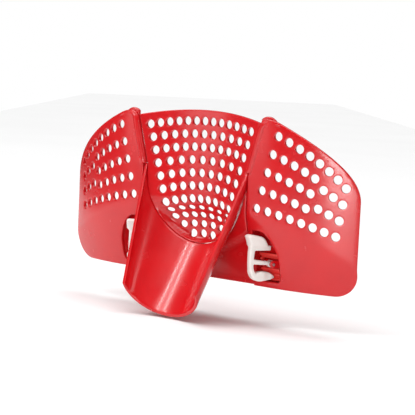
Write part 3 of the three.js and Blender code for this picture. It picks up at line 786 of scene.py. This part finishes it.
def hinges(side, name):
    """Two knuckles on the wing and one on the spout between them, each with a web to its wall."""
    low, middle_from, middle_to, high = KNUCKLES
    wing_back = WING_FRONT + WALL - 0.6
    wing_sides = (HINGE_X - 1.2, HINGE_X + BARREL_RADIUS - 0.1)
    for label, z0, z1 in (("lower", low, middle_from), ("upper", middle_to, high)):
        points, faces = knuckle(z0, z1)
        make_piece(f"{name}_{label}_knuckle", points, faces, f"{name}_wing", "red_plastic", (), side)
        web = soft_block(*wing_sides, wing_back, HINGE_Y - HINGE_BORE, z0, z1, SOFT)
        make_piece(f"{name}_{label}_web", *web, f"{name}_wing", "red_plastic", (), side)
    z0, z1 = middle_from + GAP, middle_to - GAP
    points, faces = knuckle(z0, z1)
    make_piece(f"{name}_spout_knuckle", points, faces, "strainer", "red_plastic", (), side)
    spout_side = BOWL_HALF + SPOUT_WALL * 0.3
    web = soft_block(spout_side, HINGE_X - HINGE_BORE, HINGE_Y - 1.3, HINGE_Y + 1.3, z0, z1, SOFT)
    make_piece(f"{name}_spout_web", *web, "strainer", "red_plastic", (), side)


# ------------------------------------------------------------------ clips
def in_clip_frame(x, y, z):
    """A point measured along the pin, inwards from the strap and upwards, as a drawn point."""
    c, s = math.cos(CLIP_TURN), math.sin(CLIP_TURN)
    return (CLIP_X + c * x + s * y, CLIP_Y - s * x + c * y, z)


def clip_outline():
    """The E shape, from the head round by the finger and the foot and back up the strap."""
    return (
        bezier([(-3.8, 7.6), (-3, 9), (-1, 9)], 8)
        + bezier([(4.8, 8), (9, 7.6), (10, 4.5), (11.4, 1.7)], 12)
        + bezier([(14.4, 1.2), (14.4, 0.6), (14.4, -0.4)], 4)
        + bezier([(14.2, -1.9), (13.4, -2), (12.4, -2)], 4)
        + [(2.6, -2), (2.2, -2.4), (1.7, -7.8), (2.1, -8.25)]
        + [(PIVOT_REACH - 2, -9.6), (PIVOT_REACH - 2, -12.2), (2.1, -11.45), (1.6, -11.8)]
        + bezier([(1.6, -11.8), (1.8, -17), (3.4, -17.6)], 8)
        + bezier([(3.4, -17.6), (6, -16.6), (9, -16.4), (11, -16.6)], 8)
        + bezier([(11, -16.6), (14.5, -17.2), (16.7, -18.6), (18.1, -20.4)], 8)
        + bezier([(18.1, -20.4), (16.7, -22.2), (13, -22.6), (9.7, -22.9)], 8)
        + bezier([(9.7, -22.9), (3, -24.2), (-0.4, -21.5), (-1.4, -14)], 16)
        + bezier([(-1.4, -14), (-2, -6), (-1.4, -0.4)], 10)
        + bezier([(-1.4, -0.4), (-2.2, 4.2), (-3.8, 7.6)], 8)
    )


def clip_half_width(y, z):
    """Wide at the head, narrow along the strap and the finger, wide again at the foot."""
    head = smooth((z - 0.2) / 2.2)
    foot = smooth((-14.6 - z) / 2.6) * smooth((13.5 - y) / 5.0)
    by_the_eye = smooth((y - 9) / 1.6) * smooth((z + 15.4) / 1.0) * smooth((-6.5 - z) / 1.0)
    half = STRAP_HALF + (HEAD_HALF - STRAP_HALF) * head + (FOOT_HALF - STRAP_HALF) * foot
    return half + (EYE_HALF - half) * by_the_eye


def clip(side, name):
    """The E-shaped body, and the eye at the end of its finger that turns on the pin."""
    thickness = 2 * STRAP_HALF

    def surface(y, z, depth):
        across = (depth / thickness - 0.5) * 2 * clip_half_width(y, z)
        return in_clip_frame(across, y, z)

    points, faces = shell(clip_outline(), [], surface, thickness, spacing=0.9, edge=0.8)
    make_piece(f"{name}_clip_body", points, faces, f"{name}_clip", "white_plastic", [f"{name}_clip"], side)
    profile = rounded_profile(EYE_RADIUS, -EYE_HALF, EYE_HALF)
    profile += [(CLIP_BORE, EYE_HALF), (CLIP_BORE, -EYE_HALF)]
    ring, faces = turned(profile, 0, 0)
    points = [in_clip_frame(z, PIVOT_REACH + x, PIVOT_Z + y) for x, y, z in ring]
    make_piece(f"{name}_clip_eye", points, faces, f"{name}_clip", "white_plastic", (), side)


# ------------------------------------------------------------------ grip pads
def grip_pad(side, name):
    """Plate with rounded ribs, leaning with the wing, open where the clip's bracket passes."""
    x0, x1 = WINDOW[0] + GAP, WINDOW[1] - RAMP - GAP - 0.4
    bottom = WINDOW[2] + GAP
    plate = PAD_BACK - PAD_PLATE
    open_from, open_to = PIVOT_Z - PAD_CUT_HALF, PIVOT_Z + PAD_CUT_HALF
    bands = ((bottom, open_from, x1), (open_from, open_to, PAD_CUT_X), (open_to, PAD_TOP, x1))
    blocks = [(x0, right, plate, PAD_BACK, z0, z1, SOFT) for z0, z1, right in bands]
    for i in range(int((PAD_TOP - PAD_RIB / 2 - bottom) / PAD_PITCH) + 1):
        z0 = bottom + PAD_PITCH * i
        right = PAD_CUT_X if open_from - PAD_RIB < z0 < open_to else x1
        blocks.append((x0, right, plate - PAD_RIB, plate + 0.4, z0, z0 + PAD_RIB, 0.5))
    points, faces = [], []
    for block in blocks:
        own_points, own_faces = soft_block(*block)
        start = len(points)
        points.extend((x, y + wing_front(PAD_X, z), z) for x, y, z in own_points)
        faces.extend(tuple(start + i for i in face) for face in own_faces)
    # the pads take the red_ribbed colour, painted lighter as painted light for the shaded pocket they sit in
    make_piece(f"{name}_ribbed_pad", points, faces, f"{name}_wing", "red_ribbed", [f"{name}_grip_pad"], side)


# ------------------------------------------------------------------ all pieces
centre_strainer()
pour_spout()
rim_skirt()
for side, name in ((-1, "left"), (1, "right")):
    hinges(side, name)
    clip(side, name)
    grip_pad(side, name)
    wing(side, name)
    wing_bead(side, name)
    wing_ear(side, name)
# the CAD nodes that stay in view get the same materials
for node, piece in frame["nodes"].items():
    slot = next(s["material_slot"] for s in frame["record"]["subparts"] if s["node"] == node)
    piece.data.materials.clear()
    piece.data.materials.append(SLOTS[slot])


# ------------------------------------------------------------------ floor, light and finish
def make_stage():
    """A flat white paper floor, about as wide as a studio roll, that runs under and far behind the object.
    """
    floor_z = cad_bounds[0][2] - 0.001
    across = Vector((math.cos(CAMERA_AZIMUTH), math.sin(CAMERA_AZIMUTH), 0))
    away = Vector((-math.sin(CAMERA_AZIMUTH), math.cos(CAMERA_AZIMUTH), 0))
    half, near, far = 0.7, -1.6, 7.0
    corners = [across * x + away * y for x, y in ((-half, near), (half, near), (half, far), (-half, far))]
    mesh = bpy.data.meshes.new("floor")
    mesh.from_pydata([(c.x, c.y, floor_z) for c in corners], [], [(0, 1, 2, 3)])
    floor = bpy.data.objects.new("floor", mesh)
    bpy.context.scene.collection.objects.link(floor)
    nodes = Nodes("floor")
    paper = nodes.ramp(nodes.noise(3, 2), (0.87, 0.87, 0.87), (0.9, 0.9, 0.9))
    nodes.link(paper, nodes.shader.inputs["Base Color"])
    nodes.shader.inputs["Roughness"].default_value = 0.9
    mesh.materials.append(nodes.material)


def softbox(name, location, target, width, height, power):
    """A rectangular light, in metres and watts, that faces the target."""
    data = bpy.data.lights.new(name, "AREA")
    data.shape = "RECTANGLE"
    data.size, data.size_y = width, height
    data.energy = power
    light = bpy.data.objects.new(name, data)
    bpy.context.scene.collection.objects.link(light)
    direction = Vector(target) - Vector(location)
    turn = direction.to_track_quat("-Z", "Y").to_matrix()
    light.matrix_world = Matrix.Translation(location) @ turn.to_4x4()


def make_world():
    """White behind the object, and dim where it lights or is mirrored by the plastic."""
    world = bpy.data.worlds.new("studio")
    bpy.context.scene.world = world
    world.use_nodes = True
    tree = world.node_tree
    background = tree.nodes["Background"]
    seen = tree.nodes.new("ShaderNodeLightPath")
    strength = tree.nodes.new("ShaderNodeMapRange")
    strength.inputs["To Min"].default_value = 0.1
    strength.inputs["To Max"].default_value = 1.0
    tree.links.new(seen.outputs["Is Camera Ray"], strength.inputs["Value"])
    tree.links.new(strength.outputs["Result"], background.inputs["Strength"])
    background.inputs["Color"].default_value = (1, 1, 1, 1)


def make_light():
    """A wide soft overhead light, two long strips for the trough's highlights, and fill."""
    make_world()
    data = bpy.data.lights.new("overhead", "SUN")
    data.energy = 3.15
    data.angle = math.radians(70)
    overhead = bpy.data.objects.new("overhead", data)
    bpy.context.scene.collection.objects.link(overhead)
    middle = (0, 0, 0.03)
    softbox("strip_left", (-0.78, -0.85, 1.1), middle, 0.045, 0.5, 3.0)
    softbox("strip_front", (-0.5, -1.03, 1.1), middle, 0.045, 0.5, 3.0)
    softbox("broad_left", (-1.1, -0.4, 1.5), middle, 0.6, 0.5, 2.2)
    softbox("low_front", (0.48, -1.07, 0.1), middle, 0.36, 0.26, 3.6)
    softbox("low_left", (-0.74, -0.95, 0.17), middle, 0.45, 0.35, 0.9)
    softbox("right", (1.4, -0.3, 0.6), middle, 0.3, 0.6, 1.3)
    bpy.context.scene.view_settings.view_transform = "Standard"


make_stage()
make_light()
